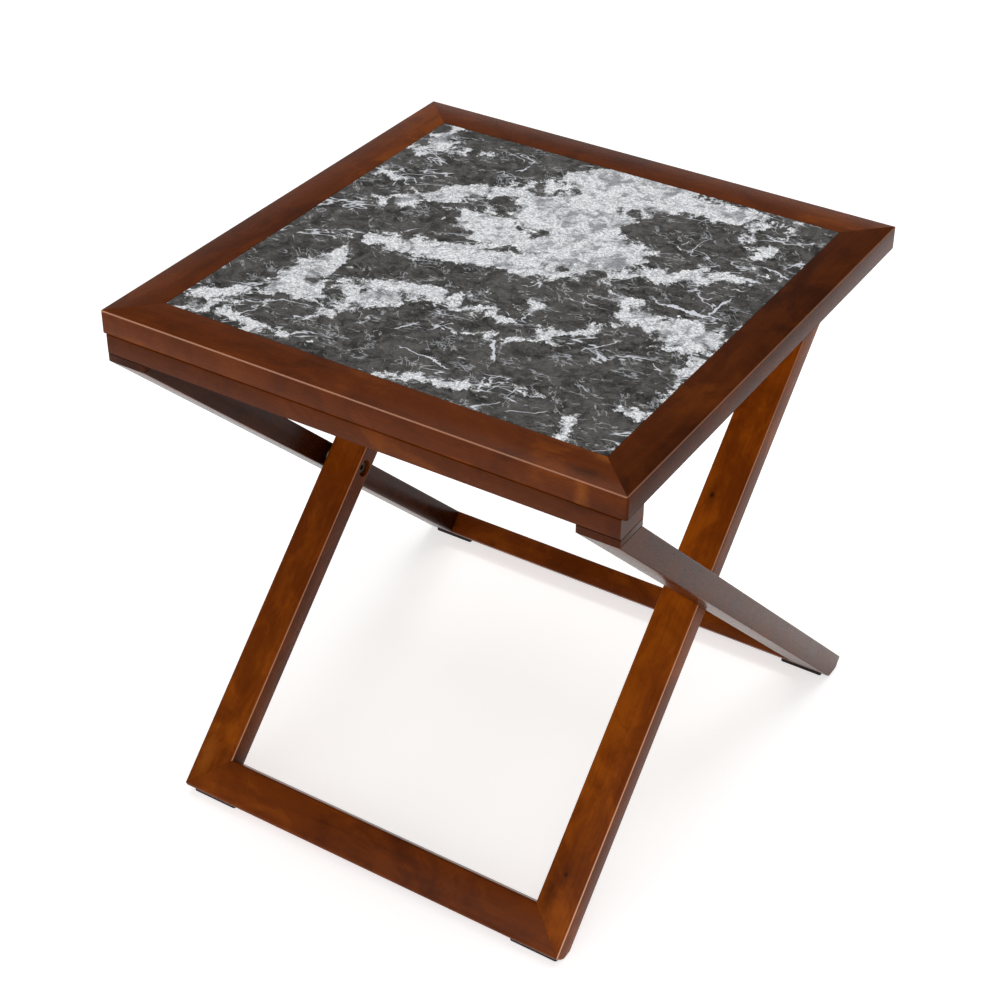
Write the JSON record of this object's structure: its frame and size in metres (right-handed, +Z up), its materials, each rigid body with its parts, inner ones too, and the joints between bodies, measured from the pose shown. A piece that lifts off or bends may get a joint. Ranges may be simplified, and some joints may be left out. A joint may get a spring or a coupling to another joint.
{
  "type": "folding tray table",
  "caption": "Square marble-inlaid wooden tray on two crossed leg frames that close like scissors as the tray is lifted.",
  "frame": {"origin": "on the floor, under the leg pivot line, at the centre of the table's footprint", "axes": "+Z up, +X along the front edge of the tray and along every hinge line, +Y from the front edge to the back edge"},
  "size_m": [0.5, 0.5074, 0.516],
  "materials": {
    "stained_wood": "satin reddish-brown stain and lacquer",
    "marble": "honed and sealed, dark grey with white veins",
    "panel": "raw plywood",
    "plain_wood": "raw beech",
    "steel": "dark zinc plate",
    "zinc": "yellow-grey zinc",
    "nylon": "matt",
    "felt_pad": "matt black"
  },
  "bodies": {
    "outer_frame": {"outer_foot_rail": "stained_wood", "outer_top_rail": "stained_wood", "outer_leg_left": "stained_wood", "outer_block_left": "stained_wood", "outer_spline_left": "plain_wood", "outer_pad_left": "felt_pad", "pivot_insert_left": "zinc", "pivot_bolt_left": "steel", "pivot_washer_left": "steel", "pivot_spacer_left": "nylon", "hinge_lower_left": "zinc", "rail_screw_left_1": "zinc", "rail_screw_left_2": "zinc", "outer_leg_right": "stained_wood", "outer_block_right": "stained_wood", "outer_spline_right": "plain_wood", "outer_pad_right": "felt_pad", "pivot_insert_right": "zinc", "pivot_bolt_right": "steel", "pivot_washer_right": "steel", "pivot_spacer_right": "nylon", "hinge_lower_right": "zinc", "rail_screw_right_1": "zinc", "rail_screw_right_2": "zinc"},
    "inner_frame": {"inner_foot_rail": "stained_wood", "inner_cross_rail": "stained_wood", "inner_leg_left": "stained_wood", "inner_spline_left": "plain_wood", "inner_pad_left": "felt_pad", "inner_dowel_left_1": "plain_wood", "inner_dowel_left_2": "plain_wood", "inner_leg_right": "stained_wood", "inner_spline_right": "plain_wood", "inner_pad_right": "felt_pad", "inner_dowel_right_1": "plain_wood", "inner_dowel_right_2": "plain_wood"},
    "tray": {"tray_border_front": "stained_wood", "tray_border_right": "stained_wood", "tray_border_back": "stained_wood", "tray_border_left": "stained_wood", "tray_spline_front_right": "plain_wood", "tray_spline_back_right": "plain_wood", "tray_spline_back_left": "plain_wood", "tray_spline_front_left": "plain_wood", "marble_slab": "marble", "backing_panel": "panel", "rear_cleat": "stained_wood", "cleat_screw_1": "zinc", "cleat_screw_2": "zinc", "cleat_screw_3": "zinc", "cleat_screw_4": "zinc", "hinge_upper_left": "zinc", "hinge_upper_right": "zinc"}
  },
  "joints": [
    {"name": "tray_lift", "type": "hinge", "parent": "outer_frame", "child": "tray", "pos_m": [0, -0.25143, 0.49435], "axis": [1, 0, 0], "range_deg": [0, 133]},
    {"name": "leg_fold", "type": "hinge", "parent": "outer_frame", "child": "inner_frame", "pos_m": [0, -0.00143, 0.242], "axis": [1, 0, 0], "range_deg": [0, 83]}
  ],
  "couplings": [
    {"joint": "leg_fold", "follows": "tray_lift", "ratio": 0.62}
  ]
}
